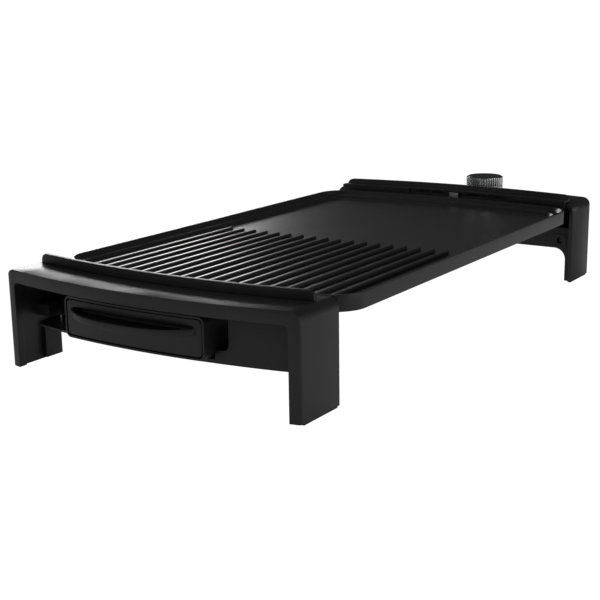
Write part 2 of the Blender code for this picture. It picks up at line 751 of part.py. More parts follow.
def make_bracket(end, side, label, y_side, finish):
    """A folded steel bracket between the plate's underside and the inner panel."""
    outer = PANEL_REACH - GAP
    top = PLATE_UNDERSIDE - GAP
    section = [
        (outer, BRACKET_LOW),
        (outer, top),
        (outer - BRACKET_REACH, top),
        (outer - BRACKET_REACH, top - BRACKET_THICK),
        (outer - BRACKET_THICK, top - BRACKET_THICK),
        (outer - BRACKET_THICK, BRACKET_LOW),
    ]
    bm = outline_mesh(section, BRACKET_WIDTH)
    upright = Matrix(((1, 0, 0, 0), (0, 0, -1, 0), (0, 1, 0, 0), (0, 0, 0, 1)))
    bmesh.ops.transform(bm, matrix=upright, verts=bm.verts)
    bmesh.ops.scale(bm, vec=(side, 1, 1), verts=bm.verts)
    bracket = mesh_object(f"{end}_bracket_{label}", bm, (0, y_side * BRACKET_Y, 0), finish)
    hole = cylinder(
        f"{end}_bracket_clear_{label}",
        0.0017,
        *sorted((side * (outer - 0.006), side * (outer + 0.006))),
        "X",
        (0, y_side * BRACKET_Y, BRACKET_SCREW_Z),
        sides=16,
    )
    return boolean(bracket, hole)


def make_bracket_screw(end, side, label, y_side, finish):
    face = PANEL_REACH - GAP * 2 - BRACKET_THICK
    profile = [(0.0, face - 0.0018), (0.0022, face - 0.0016), (0.0029, face - 0.0006)]
    profile += [(0.0029, face), (0.0014, face), (0.0014, face + 0.0075), (0, face + 0.0075)]
    name = f"{end}_bracket_screw_{label}"
    return turned_x(name, side, profile, y_side * BRACKET_Y, BRACKET_SCREW_Z, finish)


# ================================================================ heating
def tube(name, points, radius, finish, resolution=2):
    """A bar bent along points, with closed ends."""
    curve = bpy.data.curves.new(name, "CURVE")
    curve.dimensions = "3D"
    curve.bevel_depth = radius
    curve.bevel_resolution = resolution
    curve.use_fill_caps = True
    spline = curve.splines.new("POLY")
    spline.points.add(len(points) - 1)
    start = Vector(points[0])
    for point, place in zip(spline.points, points):
        point.co = (*(Vector(place) - start), 1)
    obj = bpy.data.objects.new(name, curve)
    obj.location = start
    curve.materials.append(finish)
    PARTS.objects.link(obj)
    return obj


def make_element(finish):
    """The tubular heater clamped to the plate: two hairpins joined across the control end."""
    turn = (ELEMENT_OUTER_Y - ELEMENT_INNER_Y) / 2
    middle = (ELEMENT_OUTER_Y + ELEMENT_INNER_Y) / 2
    bend = 0.018
    half = [(ELEMENT_END, ELEMENT_INNER_Y)]
    half += arc((ELEMENT_FAR + turn, middle), turn, -90, -270, 10)
    half += arc((ELEMENT_TURN, ELEMENT_OUTER_Y - bend), bend, 90, 0, 5)
    route = half + [(x, -y) for x, y in reversed(half)]
    return tube("heating_element", [(x, y, ELEMENT_Z) for x, y in route], ELEMENT_RADIUS, finish)


def make_shield(finish):
    """The sheet-metal tray under the heater, which throws its heat back at the plate."""
    bm = bmesh.new()
    bmesh.ops.create_cube(bm, size=1.0)
    size = Vector(
        (SHIELD_CONTROL_END - SHIELD_TRAY_END, 2 * SHIELD_HALF_WIDTH, SHIELD_TOP - SHIELD_BOTTOM)
    )
    bmesh.ops.scale(bm, vec=size, verts=bm.verts)
    top = [face for face in bm.faces if face.normal.z > 0.5]
    bmesh.ops.delete(bm, geom=top, context="FACES_ONLY")
    centre = ((SHIELD_CONTROL_END + SHIELD_TRAY_END) / 2, 0, (SHIELD_TOP + SHIELD_BOTTOM) / 2)
    shield = mesh_object("heat_shield", bm, centre, finish)
    wall = shield.modifiers.new("Sheet", "SOLIDIFY")
    wall.thickness = SHIELD_WALL
    wall.offset = -1
    for index, y in enumerate((ELEMENT_INNER_Y, -ELEMENT_INNER_Y)):
        notch = box(
            f"shield_notch_{index}",
            (SHIELD_CONTROL_END - 0.01, y - 0.006, SHIELD_BOTTOM + 0.0015),
            (SHIELD_CONTROL_END + 0.01, y + 0.006, SHIELD_TOP + 0.01),
        )
        boolean(shield, notch)
    outer = PANEL_REACH - GAP - BRACKET_REACH - 0.002
    for end, side in ENDS:
        for label, y_side in SIDES:
            clear = end_box(
                f"shield_clear_{end}_{label}",
                side,
                (outer, PANEL_REACH + 0.02),
                (y_side * (BRACKET_Y - BRACKET_WIDTH / 2 - 0.002), y_side * (SHIELD_HALF_WIDTH + 0.01)),
                (PLATE_UNDERSIDE - 0.005, PLATE_TOP),
            )
            boolean(shield, clear)
    return shield


def make_terminal(label, y_side, finish):
    """The ceramic bush and pin at each end of the heater."""
    start = ELEMENT_END + GAP
    tip = start + TERMINAL_LENGTH
    profile = [(0.0, start), (0.0036, start), (0.0036, start + 0.006), (0.0022, start + 0.0075)]
    profile += [(0.0012, start + 0.0075), (0.0012, tip), (0, tip)]
    name = f"element_terminal_{label}"
    return turned_x(name, 1, profile, y_side * ELEMENT_INNER_Y, ELEMENT_Z, finish)


# ================================================================ drip tray
def make_drawer_frame(finish):
    """The moulded sleeve in the tray end that the drip tray slides in."""
    low = -(STAND_REACH + 0.01)
    high = -(STAND_REACH - FRAME_DEPTH)
    outer = rounded_rectangle((-FRAME_HALF, FRAME_BOTTOM), (FRAME_HALF, FRAME_TOP), FRAME_CORNER)
    wall = FRAME_WALL
    inner = rounded_rectangle(
        (wall - FRAME_HALF, FRAME_BOTTOM + wall),
        (FRAME_HALF - wall, FRAME_TOP - wall),
        FRAME_CORNER - wall,
    )
    frame = slab_yz("drawer_frame", outer, low, high, finish)
    plan = bowed_plan(-1, STAND_REACH - 0.0008, FRAME_HALF + 0.02, STAND_INNER - 0.02, 0.001)
    plan_cut = slab_xy("drawer_frame_plan", plan, FRAME_BOTTOM - 0.01, FRAME_TOP + 0.01)
    boolean(frame, plan_cut, "INTERSECT")
    boolean(frame, slab_yz("drawer_frame_bore", inner, low - 0.01, high + 0.01))
    return shade(frame)


def make_drawer_guide(finish):
    """The open channel behind the sleeve, under the drain hole."""
    outer_end = STAND_REACH - FRAME_DEPTH - GAP
    guide = end_box(
        "drawer_guide",
        -1,
        (GUIDE_INNER, outer_end),
        (-FRAME_HALF, FRAME_HALF),
        (FRAME_BOTTOM, GUIDE_TOP),
        finish,
    )
    channel = end_box(
        "guide_channel",
        -1,
        (GUIDE_INNER + FRAME_WALL, outer_end + 0.01),
        (FRAME_WALL - FRAME_HALF, FRAME_HALF - FRAME_WALL),
        (FRAME_BOTTOM + FRAME_WALL, GUIDE_TOP + 0.01),
    )
    return boolean(guide, channel)


def make_drip_tray(finish):
    """The basin that catches the fat."""
    half = FRAME_HALF - FRAME_WALL - SLIDE_GAP
    bottom = FRAME_BOTTOM + FRAME_WALL + GAP
    front = bow_at(STAND_REACH, half) - FRONT_RECESS - FRONT_THICK - GAP - PULL_DEPTH
    corner = FRAME_CORNER - FRAME_WALL
    view = [(half, TRAY_TOP), (-half, TRAY_TOP)]
    view += arc((corner - half, bottom + corner), corner, 180, 270, 4)
    view += arc((half - corner, bottom + corner), corner, 270, 360, 4)
    tray = slab_yz("drip_tray", view, -front, -TRAY_INNER, finish)
    basin = end_box(
        "tray_basin",
        -1,
        (TRAY_INNER + TRAY_WALL, front - TRAY_WALL),
        (TRAY_WALL - half, half - TRAY_WALL),
        (bottom + TRAY_WALL, TRAY_TOP + 0.01),
    )
    return boolean(tray, basin)


def pull_bulge(y, wall=0.0):
    """How far the pull's lip stands out of the front, at a place along it."""
    share = 1 - abs(y / (PULL_HALF - wall)) ** 4
    return PULL_STEP + (PULL_BULGE - PULL_STEP) * share - wall


def pull_plan(wall, back, steps=24):
    """The lip seen from above: a flattened arc, drawn in by a wall, and a straight back edge."""
    half = PULL_HALF - wall
    rows = [half * (2 * i / steps - 1) for i in range(steps + 1)]
    face = STAND_REACH - FRONT_RECESS
    curve = [(-bow_at(face, y) - pull_bulge(y, wall), y) for y in rows]
    return [(-back, -half)] + curve + [(-back, half)]


def pull_band(low, high, wall=0.0, steps=16):
    """The lip seen from the front: a band that sags between its ends. A number above is a flat top."""
    half = PULL_HALF - wall
    rows = [half * (2 * i / steps - 1) for i in range(steps + 1)]
    sag = [(y, PULL_SAG * (1 - (y / half) ** 2)) for y in rows]
    lower = [(y, low - drop) for y, drop in sag]
    if high is None:
        return lower + [(half, PULL_TOP), (-half, PULL_TOP)]
    return lower + [(y, high - drop) for y, drop in reversed(sag)]


def make_tray_front(finish):
    """The drip tray's front, bowed like the stand, with a finger pocket behind a bulging lip."""
    face = STAND_REACH - FRONT_RECESS
    inner_gap = FRAME_WALL + SLIDE_GAP
    bottom = FRAME_BOTTOM + inner_gap
    top = FRAME_TOP - inner_gap
    half = FRAME_HALF - inner_gap
    outside = -(STAND_REACH + 0.03)
    inside = -(STAND_REACH - 0.04)
    section = [(face, bottom), (face, top), (face - FRONT_THICK, top), (face - FRONT_THICK, bottom)]
    front = bowed_bar("drip_tray_front", -1, section, half + 0.003, finish)
    view = rounded_rectangle((-half, bottom), (half, top), FRONT_CORNER)
    boolean(front, slab_yz("front_view", view, outside, inside), "INTERSECT")

    lip_low = PULL_LIP_TOP - LIP_HEIGHT
    root = bow_at(face, PULL_HALF) - FRONT_THICK / 2
    lip = slab_xy("front_lip", pull_plan(0.0, root), bottom, top)
    band = pull_band(lip_low, PULL_LIP_TOP)
    boolean(lip, slab_yz("front_lip_view", band, outside, inside), "INTERSECT")
    boolean(front, lip, "UNION")

    back = face - FRONT_THICK - PULL_DEPTH
    housing_section = [
        (face - FRONT_THICK / 2, lip_low - PULL_SAG),
        (face - FRONT_THICK / 2, PULL_TOP + PULL_WALL),
        (back, PULL_TOP + PULL_WALL),
        (back, lip_low - PULL_SAG),
    ]
    boolean(front, bowed_bar("front_housing", -1, housing_section, PULL_HALF), "UNION")
    rear = bow_at(back, PULL_HALF) + PULL_WALL + BOW * (PULL_HALF / BOW_HALF) ** 2
    pocket = slab_xy("front_pocket", pull_plan(PULL_WALL, rear), bottom, top)
    space = pull_band(lip_low + PULL_WALL, None, PULL_WALL)
    boolean(pocket, slab_yz("front_pocket_view", space, outside, inside), "INTERSECT")
    boolean(front, pocket)
    return shade(front)


# ================================================================ controls
def make_thermostat(finish):
    """The switch body that hangs under the top of the control stand."""
    top = INNER_TOP - GAP
    half_y = THERMOSTAT_WIDTH / 2
    body = box(
        "thermostat_body",
        (KNOB_X - THERMOSTAT_REAR, KNOB_Y - half_y, top - THERMOSTAT_DROP),
        (bow_at(APRON_BACK, KNOB_Y - half_y) - GAP, KNOB_Y + half_y, top),
        finish,
    )
    bore = cylinder(
        "thermostat_bore", SHAFT_RADIUS + GAP, top - 0.010, top + 0.01, "Z", (KNOB_X, KNOB_Y, 0)
    )
    bevel(body, 0.0010)
    return boolean(body, bore)


def make_knob(silver, black, steel):
    """The dial: a fluted ring on a plain collar, a flat black cap, and the shaft they turn on."""
    place = (KNOB_X, KNOB_Y, 0)
    axis = bpy.data.objects.new("knob_axis", None)
    axis.location = place
    PARTS.objects.link(axis)

    profile = [(CAP_RADIUS + GAP, KNOB_TOP), (KNOB_RADIUS - 0.0014, KNOB_TOP)]
    profile += [(KNOB_RADIUS - FLUTE_DEPTH, KNOB_TOP - 0.0009)]
    profile += [(KNOB_RADIUS - FLUTE_DEPTH, KNOB_COLLAR_TOP + 0.0006)]
    profile += [(KNOB_RADIUS, KNOB_COLLAR_TOP), (KNOB_RADIUS, KNOB_BOTTOM + 0.0006)]
    profile += [(KNOB_RADIUS - 0.0006, KNOB_BOTTOM), (SHAFT_RADIUS + GAP, KNOB_BOTTOM)]
    floor = KNOB_TOP - CAP_THICK + CAP_RISE - GAP
    profile += [(SHAFT_RADIUS + GAP, floor), (CAP_RADIUS + GAP, floor)]
    ring = spun_z("knob_ring", profile, silver, steps=KNOB_FLUTES * 2)
    ring.parent = axis
    flute_low = KNOB_COLLAR_TOP + 0.0008
    for vert in ring.data.vertices:
        angle = math.atan2(vert.co.y, vert.co.x)
        radius = math.hypot(vert.co.x, vert.co.y)
        on_ridge = round(angle / (math.tau / KNOB_FLUTES / 2)) % 2 == 0
        if on_ridge and radius > KNOB_RADIUS - 0.0007 and vert.co.z < KNOB_TOP - 0.0005:
            if vert.co.z > flute_low - 0.0004:
                vert.co.x *= KNOB_RADIUS / radius
                vert.co.y *= KNOB_RADIUS / radius

    cap_bottom = KNOB_TOP - CAP_THICK + CAP_RISE
    cap_top = KNOB_TOP + CAP_RISE
    profile = [(0, cap_top), (CAP_RADIUS - 0.0005, cap_top), (CAP_RADIUS, cap_top - 0.0005)]
    profile += [(CAP_RADIUS, cap_bottom), (0, cap_bottom)]
    cap = spun_z("knob_cap", profile, black, steps=36)
    cap.parent = axis

    top = INNER_TOP - GAP
    profile = [(0, floor - GAP), (SHAFT_RADIUS, floor - GAP), (SHAFT_RADIUS, top - 0.0095)]
    profile += [(0, top - 0.0095)]
    shaft = spun_z("knob_shaft", profile, steel, steps=20)
    shaft.parent = axis


def spun_z(name, profile, finish, steps):
    """A turned piece round Z, from pairs of radius and height."""
    closed = profile[0][0] > 1e-6
    bm = bmesh.new()
    verts = [bm.verts.new((radius, 0, z)) for radius, z in profile]
    pairs = list(zip(verts, verts[1:])) + ([(verts[-1], verts[0])] if closed else [])
    edges = [bm.edges.new(pair) for pair in pairs]
    bmesh.ops.spin(
        bm,
        geom=verts + edges,
        axis=(0, 0, 1),
        cent=(0, 0, 0),
        angle=math.tau,
        steps=steps,
        use_merge=True,
        use_duplicate=False,
    )
    bmesh.ops.remove_doubles(bm, verts=bm.verts, dist=1e-6)
    return shade(mesh_object(name, bm, (0, 0, 0), finish))


def make_lamp(lens_finish, holder_finish):
    """The pilot lamp beside the dial: a small dome on top and its holder below."""
    base = STAND_HEIGHT + GAP
    under = INNER_TOP - GAP
    stem = LAMP_RADIUS - 0.0010
    profile = [(0, base + 0.0022), (LAMP_RADIUS * 0.5, base + 0.0019), (LAMP_RADIUS * 0.87, base + 0.001)]
    profile += [(LAMP_RADIUS, base), (stem, base), (stem, under - 0.001), (0, under - 0.001)]
    lens = spun_z("pilot_lamp_lens", profile, lens_finish, steps=24)
    lens.location = (LAMP_X, LAMP_Y, 0)
    holder = cylinder(
        "pilot_lamp_holder", LAMP_RADIUS, under - 0.017, under - 0.0016, "Z",
        (LAMP_X, LAMP_Y, 0), holder_finish,
    )
    return lens, holder


def cut_control_top(shell):
    """Openings in the control stand's top for the dial's shaft and the lamp."""
    for name, radius, place in (
        ("shaft_way", SHAFT_RADIUS + GAP, (KNOB_X, KNOB_Y, 0)),
        ("lamp_way", LAMP_RADIUS - 0.0010 + GAP, (LAMP_X, LAMP_Y, 0)),
    ):
        way = cylinder(name, radius, STAND_HEIGHT - 0.01, STAND_HEIGHT + 0.01, "Z", place)
        boolean(shell, way)


def make_inlet(plastic, metal):
    """The mains inlet in the control end: a socket open outwards with three flat pins."""
    outer = bow_at(APRON_FACE, INLET_Y + INLET_WIDTH / 2) + 0.0030
    inner = outer - INLET_DEPTH
    half_w = INLET_WIDTH / 2
    half_h = INLET_HEIGHT / 2
    body = box(
        "power_inlet",
        (inner, INLET_Y - half_w, INLET_Z - half_h),
        (outer, INLET_Y + half_w, INLET_Z + half_h),
        plastic,
    )
    socket = box(
        "inlet_socket",
        (inner + 0.003, INLET_Y - half_w + INLET_WALL, INLET_Z - half_h + INLET_WALL),
        (outer + 0.01, INLET_Y + half_w - INLET_WALL, INLET_Z + half_h - INLET_WALL),
    )
    boolean(body, socket)
    for name, dy, dz in (("neutral", -0.0070, -0.002), ("earth", 0.0, 0.002), ("live", 0.0070, -0.002)):
        pin_low = (inner + 0.003 + GAP, INLET_Y + dy - PIN_SIZE / 2, INLET_Z + dz - PIN_SIZE)
        pin_high = (outer - PIN_SET_BACK, INLET_Y + dy + PIN_SIZE / 2, INLET_Z + dz + PIN_SIZE)
        bevel(box(f"inlet_pin_{name}", pin_low, pin_high, metal), 0.0004)


def make_terminal_block(finish):
    """The ceramic block where the mains, the thermostat and the heater meet."""
    low = (PANEL_REACH + 0.0150, BLOCK_Y - BLOCK_WIDTH / 2, PANEL_BOTTOM + 0.0085)
    high = (low[0] + BLOCK_LENGTH, low[1] + BLOCK_WIDTH, low[2] + BLOCK_HEIGHT)
    block = box("terminal_block", low, high, finish)
    for index in range(3):
        place = (0, low[1] + BLOCK_WIDTH * (2 * index + 1) / 6, low[2] + BLOCK_HEIGHT / 2)
        way = cylinder(f"block_way_{index}", 0.0018, low[0] - 0.01, high[0] + 0.01, "X", place, sides=12)
        boolean(block, way)
    return block


def make_probe(strip_finish):
    """The sprung sensor strip that stands between the plate's end and the guard."""
    reach = PLATE_HALF_LENGTH + 0.0028
    low = (reach, -0.0085, PANEL_TOP + 0.0020)
    high = (reach + 0.0012, 0.0025, STAND_HEIGHT + 0.0013)
    return bevel(box("sensor_strip", low, high, strip_finish), 0.0003)


def make_base_cover(end, side, finish):
    """The cover under one end: it closes in the wiring, or the space round the drip tray."""
    low_x = PANEL_REACH + PANEL_THICK + PAD_DEPTH + GAP
    cover = slab_xy(
        f"{end}_base_cover",
        bowed_plan(side, APRON_BACK - GAP, COVER_HALF, low_x, 0.004),
        COVER_BOTTOM,
        COVER_BOTTOM + COVER_THICK,
        finish,
    )
    for label, y_side in SIDES:
        place = (side * COVER_SCREW_X, y_side * COVER_SCREW_Y, 0)
        low, high = COVER_BOTTOM - 0.01, COVER_BOTTOM + 0.01
        boolean(cover, cylinder(f"{end}_cover_hole_{label}", 0.0018, low, high, "Z", place, sides=16))
    return cover


def make_cover_screw(end, side, label, y_side, finish):
    """A short screw that holds a base cover from below."""
    seat = COVER_BOTTOM - GAP
    profile = [(0, seat + 0.0075), (0.0014, seat + 0.0075), (0.0014, seat), (0.0029, seat)]
    profile += [(0.0029, seat - 0.0006), (0.0022, seat - 0.0016), (0, seat - 0.0018)]
    screw = spun_z(f"{end}_cover_screw_{label}", profile, finish, steps=16)
    screw.location = (side * COVER_SCREW_X, y_side * COVER_SCREW_Y, 0)


# ================================================================ the whole griddle
def main():
    global PARTS, CUTTERS
    clear_scene()
    PARTS = new_collection("electric_griddle")
    CUTTERS = new_collection("cutters")
    shell = material("shell_black", (0.020, 0.020, 0.021), 0.42)
    inner = material("inner_black", (0.014, 0.014, 0.015), 0.48)
    plate = material("nonstick_black", (0.022, 0.022, 0.023), 0.36)
    silver = material("knob_silver", (0.82, 0.83, 0.84), 0.22, 1.0)
    steel = material("steel", (0.58, 0.58, 0.57), 0.34, 1.0)
    rubber = material("rubber", (0.012, 0.012, 0.012), 0.75)
    ceramic = material("ceramic", (0.80, 0.78, 0.72), 0.55)
    lamp = material("lamp_red", (0.55, 0.04, 0.03), 0.20)

    guards = {
        "tray": (GUARD_REACH_TRAY, GUARD_DEPTH_TRAY, GUARD_STEP_TRAY),
        "control": (GUARD_REACH_CONTROL, GUARD_DEPTH_CONTROL, GUARD_STEP_CONTROL),
    }
    for end, side in ENDS:
        reach, depth, step = guards[end]
        bow = guard_bow(reach, depth)
        stand = make_stand(end, side, reach, bow, shell)
        if end == "control":
            cut_control_top(stand)
        make_guard(end, side, reach, bow, step, inner)
        make_inner_panel(end, side, inner)
        make_apron(end, side, inner)
        for label, y_side in SIDES:
            make_foot(end, side, label, y_side, rubber)
            make_pad_screw(end, side, label, y_side, steel)
            make_bracket(end, side, label, y_side, steel)
            make_bracket_screw(end, side, label, y_side, steel)
            make_cover_screw(end, side, label, y_side, steel)
        make_base_cover(end, side, inner)

    make_plate(plate)
    make_element(steel)
    for label, y_side in SIDES:
        make_terminal(label, y_side, ceramic)
    make_shield(steel)
    make_probe(steel)

    make_drawer_frame(inner)
    make_drawer_guide(inner)
    make_drip_tray(inner)
    make_tray_front(shell)

    make_thermostat(ceramic)
    make_knob(silver, inner, steel)
    make_lamp(lamp, ceramic)
    make_inlet(inner, steel)
    make_terminal_block(ceramic)
    place_on_origin()


def place_on_origin():
    """Parent everything to one empty, so that the origin lies under the middle of the whole."""
    origin = bpy.data.objects.new("griddle_origin", None)
    origin.location = (ORIGIN_X, 0, 0)
    for obj in PARTS.objects[:] + CUTTERS.objects[:]:
        if obj.parent is None:
            obj.parent = origin
    PARTS.objects.link(origin)


main()
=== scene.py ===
# %% [markdown]
# # An electric table griddle
# The griddle is already modelled as solids that fit and move: a plate between two stands, a
# drip tray that slides out, and a dial that turns. They are loaded here as a fixed frame.
# What is left is the look: softer shapes where light catches an edge, and real finishes.

import math

import bmesh
import bpy
from mathutils import Matrix, Vector


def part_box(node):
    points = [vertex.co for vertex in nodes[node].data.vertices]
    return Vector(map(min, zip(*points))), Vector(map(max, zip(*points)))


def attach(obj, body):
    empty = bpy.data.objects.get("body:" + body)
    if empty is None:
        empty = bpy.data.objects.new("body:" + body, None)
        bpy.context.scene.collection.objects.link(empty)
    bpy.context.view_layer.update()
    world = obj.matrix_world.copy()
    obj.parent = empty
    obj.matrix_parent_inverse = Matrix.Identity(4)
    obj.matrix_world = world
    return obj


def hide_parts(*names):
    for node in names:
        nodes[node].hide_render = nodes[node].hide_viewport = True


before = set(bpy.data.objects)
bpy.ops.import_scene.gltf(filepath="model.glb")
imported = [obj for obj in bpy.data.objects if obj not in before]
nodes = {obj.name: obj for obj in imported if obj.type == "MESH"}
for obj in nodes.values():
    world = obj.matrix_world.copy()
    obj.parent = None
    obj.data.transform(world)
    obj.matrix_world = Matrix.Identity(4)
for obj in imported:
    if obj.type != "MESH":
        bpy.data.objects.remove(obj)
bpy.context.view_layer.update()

# %% [markdown]
# ## The camera
# A long lens from a low corner shows the whole length of the plate and keeps the stands'
# uprights nearly parallel. The place is fixed in metres, because the object's frame is too.
# Turning about Z, then X, then the lens axis gives each angle its plain meaning.

# %% Camera
CAMERA_PLACE = Vector((-0.9528, -0.5885, 0.2924))
CAMERA_HEADING = 33.485
CAMERA_DIP = 13.876
CAMERA_ROLL = -0.825
LENS = 71.10

camera_data = bpy.data.cameras.new("camera")
camera_data.lens = LENS
camera_data.sensor_width = 36
camera_data.clip_start = 0.02
camera = bpy.data.objects.new("camera", camera_data)
turn = Matrix.Rotation(math.radians(CAMERA_HEADING - 90), 4, "Z")
turn = turn @ Matrix.Rotation(math.radians(90 - CAMERA_DIP), 4, "X")
turn = turn @ Matrix.Rotation(math.radians(CAMERA_ROLL), 4, "Z")
camera.matrix_world = Matrix.Translation(CAMERA_PLACE) @ turn
bpy.context.scene.collection.objects.link(camera)
bpy.context.scene.camera = camera
print("camera stands", round(CAMERA_PLACE.length, 3), "m from the middle of the griddle")

# %% [markdown]
# ## The studio
# Black plastic has almost no colour of its own, so its shape is told by what it mirrors. One
# long soft box low behind the left side draws the sheen along the plate and the tops of the
# stands, a weaker one on the right reads the long side, and a dim surround keeps the ends and
# the hollows deep. The floor looks pure white, but throws only a little light back up.

# %% Floor, surround and lamps
FLOOR_GLOW = 0.16
SURROUND_GLOW = 0.05
SEEN_WHITE = 1.05
FLOOR_HALF = 12
LAMP_AIM = Vector((0.0, 0.0, 0.06))
LAMPS = {
    "sheen_box": {"place": (1.35, 2.10, 0.62), "size": (1.7, 0.75), "power": 26},
    "long_side_box": {"place": (0.2, -1.9, 0.55), "size": (1.8, 0.7), "power": 7},
    "end_box": {"place": (-1.9, 0.9, 0.9), "size": (0.8, 0.8), "power": 2.5},
    "top_box": {"place": (-0.1, 0.2, 1.7), "size": (1.2, 1.0), "power": 3},
}


def background_or_light(tree, seen, lit, output):
    """What the eye sees and what lights the object, kept apart."""
    ray = tree.nodes.new("ShaderNodeLightPath")
    mix = tree.nodes.new("ShaderNodeMixShader")
    tree.links.new(ray.outputs["Is Camera Ray"], mix.inputs["Fac"])
    tree.links.new(lit, mix.inputs[1])
    tree.links.new(seen, mix.inputs[2])
    tree.links.new(mix.outputs["Shader"], output.inputs["Surface"])


def stage_floor():
    """A pale sheet that runs far past the view on every side."""
    bm = bmesh.new()
    bmesh.ops.create_grid(bm, x_segments=2, y_segments=2, size=FLOOR_HALF)
    mesh = bpy.data.meshes.new("floor")
    bm.to_mesh(mesh)
    bm.free()
    floor = bpy.data.objects.new("floor", mesh)
    bpy.context.scene.collection.objects.link(floor)
    paper = bpy.data.materials.new("studio_paper")
    paper.use_nodes = True
    tree = paper.node_tree
    shader = tree.nodes["Principled BSDF"]
    shader.inputs["Base Color"].default_value = (0.85, 0.85, 0.85, 1)
    shader.inputs["Roughness"].default_value = 0.9
    shader.inputs["Specular IOR Level"].default_value = 0.1
    shader.inputs["Emission Color"].default_value = (1, 1, 1, 1)
    shader.inputs["Emission Strength"].default_value = FLOOR_GLOW
    white = tree.nodes.new("ShaderNodeEmission")
    white.inputs["Strength"].default_value = SEEN_WHITE
    background_or_light(
        tree, white.outputs["Emission"], shader.outputs["BSDF"], tree.nodes["Material Output"]
    )
    mesh.materials.append(paper)


def surround():
    """A dim even room that looks white."""
    world = bpy.data.worlds.new("surround")
    world.use_nodes = True
    tree = world.node_tree
    seen = tree.nodes.new("ShaderNodeBackground")
    seen.inputs["Color"].default_value = (1, 1, 1, 1)
    seen.inputs["Strength"].default_value = SEEN_WHITE
    lit = tree.nodes["Background"]
    lit.inputs["Color"].default_value = (1, 1, 1, 1)
    lit.inputs["Strength"].default_value = SURROUND_GLOW
    background_or_light(
        tree, seen.outputs["Background"], lit.outputs["Background"], tree.nodes["World Output"]
    )
    bpy.context.scene.world = world


def soft_box(name, place, size, power):
    """A rectangular lamp at a place, turned to face the griddle."""
    light = bpy.data.lights.new(name, "AREA")
    light.shape = "RECTANGLE"
    light.size, light.size_y = size
    light.energy = power
    lamp = bpy.data.objects.new(name, light)
    lamp.location = place
    lamp.rotation_euler = (LAMP_AIM - Vector(place)).to_track_quat("-Z", "Y").to_euler()
    lamp.visible_camera = False
    bpy.context.scene.collection.objects.link(lamp)


stage_floor()
surround()
for name, values in LAMPS.items():
    soft_box(name, **values)
bpy.context.scene.view_settings.view_transform = "Standard"

# %% [markdown]
# ## Finishes
# Two effects are shared by several finishes, so each is a node group that is built once:
# the fine grain that a spark-eroded mould leaves on plastic, and the faint uneven film that
# handling and dust leave on any dark surface. Both read Object coordinates, so their scale
# is in metres and stays the same on a small screw and on a long stand.

# %% Shared node groups
def new_group(name, inputs, outputs):
    """An empty shader group with number inputs, and outputs of the kinds given."""
    group = bpy.data.node_groups.new(name, "ShaderNodeTree")
    for label, value in inputs.items():
        socket = group.interface.new_socket(label, in_out="INPUT", socket_type="NodeSocketFloat")
        socket.default_value = value
    for label in outputs:
        group.interface.new_socket(label, in_out="OUTPUT", socket_type="NodeSocketFloat")
    inside = group.nodes.new("NodeGroupInput")
    outside = group.nodes.new("NodeGroupOutput")
    return group, inside, outside


def noise(tree, scale, detail, vector=None, roughness=0.55):
    """A noise texture on Object coordinates, or on another vector."""
    node = tree.nodes.new("ShaderNodeTexNoise")
    node.inputs["Detail"].default_value = detail
    node.inputs["Roughness"].default_value = roughness
    if vector is None:
        vector = tree.nodes.new("ShaderNodeTexCoord").outputs["Object"]
    tree.links.new(vector, node.inputs["Vector"])
    if isinstance(scale, (int, float)):
        node.inputs["Scale"].default_value = scale
    else:
        tree.links.new(scale, node.inputs["Scale"])
    return node.outputs["Fac"]


def spread(tree, value, low, high, from_low=0.0, from_high=1.0):
    """A value moved from one range to another and kept inside it."""
    node = tree.nodes.new("ShaderNodeMapRange")
    tree.links.new(value, node.inputs["Value"])
    for label, number in (
        ("From Min", from_low), ("From Max", from_high), ("To Min", low), ("To Max", high),
    ):
        node.inputs[label].default_value = number
    return node.outputs["Result"]


def build_grain_group():
    """Mould grain: a fine pebble and a finer tooth, as one height."""
    group, inside, outside = new_group(
        "mould_grain", {"Pebbles per metre": 1400}, ["Height", "Mask"]
    )
    pebble = noise(group, inside.outputs["Pebbles per metre"], 2)
    tooth = noise(group, 5200, 1)
    both = group.nodes.new("ShaderNodeMath")
    both.operation = "MULTIPLY_ADD"
    both.inputs[1].default_value = 0.35
    group.links.new(tooth, both.inputs[0])
    group.links.new(pebble, both.inputs[2])
    group.links.new(both.outputs["Value"], outside.inputs["Height"])
    mask = spread(group, pebble, 0, 1, 0.35, 0.65)
    group.links.new(mask, outside.inputs["Mask"])
    return group


def build_film_group():
    """Handling film: broad soft patches broken by a finer smear."""
    group, inside, outside = new_group("handling_film", {"Patches per metre": 14}, ["Mask"])
    broad = noise(group, inside.outputs["Patches per metre"], 4, roughness=0.65)
    smear = noise(group, 160, 3)
    joined = group.nodes.new("ShaderNodeMath")
    joined.operation = "MULTIPLY"
    group.links.new(spread(group, broad, 0, 1, 0.35, 0.7), joined.inputs[0])
    group.links.new(spread(group, smear, 0.4, 1, 0.3, 0.7), joined.inputs[1])
    group.links.new(joined.outputs["Value"], outside.inputs["Mask"])
    return group


grain_group = build_grain_group()
film_group = build_film_group()
print("groups:", [group.name for group in bpy.data.node_groups])

# %% [markdown]
# ### Moulded black plastic
# Both stands, the drip tray and the panels are glass-filled nylon or bakelite in satin
# black. Each gets its own base tone and gloss, with the same grain in its normal and the
# same film in its colour and roughness. The inner parts are darker partly as painted shade,
# so the recesses they line read deep.

# %% Plastic finishes
PLASTIC_IOR = 1.52
GRAIN_RELIEF = 0.00003


def finish(name, colour, roughness, metallic=0.0):
    """A material whose fixed values are on the shader's own sockets."""
    made = bpy.data.materials.new(name)
    made.use_nodes = True
    shader = made.node_tree.nodes["Principled BSDF"]
    shader.inputs["Base Color"].default_value = (*colour, 1)
    shader.inputs["Roughness"].default_value = roughness
    shader.inputs["Metallic"].default_value = metallic
    return made, made.node_tree, shader


